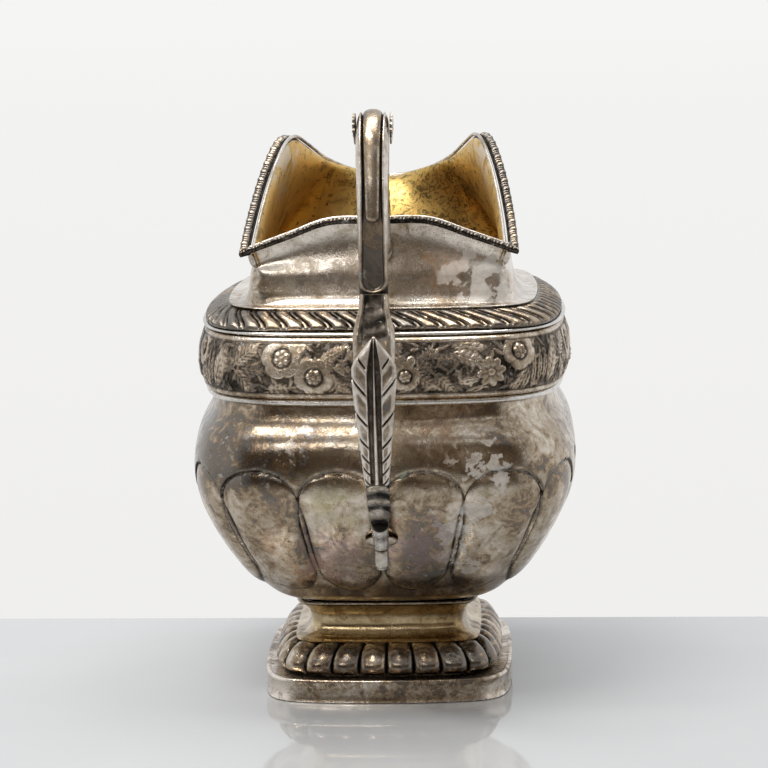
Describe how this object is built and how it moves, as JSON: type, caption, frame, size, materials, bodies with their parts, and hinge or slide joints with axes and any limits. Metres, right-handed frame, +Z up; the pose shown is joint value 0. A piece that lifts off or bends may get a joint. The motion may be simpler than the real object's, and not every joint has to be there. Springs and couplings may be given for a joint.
{
  "type": "cream jug",
  "caption": "Silver cream jug with a lobed bowed-rectangular body, floral band, gadrooned borders, wide pouring lip and cast scroll handle on a rectangular foot.",
  "frame": {"origin": "under the middle of the jug's bounding box, in the plane the foot stands on", "axes": "+Z up out of the mouth, +Y towards the spout with the handle at -Y, +X across the jug to the right when it is seen from behind its handle"},
  "size_m": [0.096, 0.143, 0.1476],
  "materials": {
    "silver": "worn polished silver with brown and grey tarnish and pale water spots",
    "dark_silver": "silver relief with dark oxide in its hollows and bright worn tops",
    "bright_silver": "silver polished bright by handling",
    "gilt_lined_silver": "tarnished silver outside, worn gilding with dark specks inside"
  },
  "bodies": {
    "root": {"foot_plinth": "silver", "foot_gadroon_border": "silver", "foot_stem": "silver", "stem_joint_wire": "silver", "bowl": "gilt_lined_silver", "band_lower_wire": "silver", "frieze_band": "dark_silver", "band_upper_wire": "silver", "shoulder_gadroon_border": "silver", "neck": "gilt_lined_silver", "rim_gadroon_border": "silver", "rim_inner_wire": "bright_silver", "handle_upper_scroll": "silver", "handle_rib": "bright_silver", "handle_shell_left": "dark_silver", "handle_shell_right": "dark_silver", "handle_lower_scroll": "silver", "handle_leaf": "silver", "handle_collar": "dark_silver", "handle_tail": "bright_silver", "handle_upper_pad": "silver", "handle_lower_pad": "silver"}
  },
  "joints": []
}
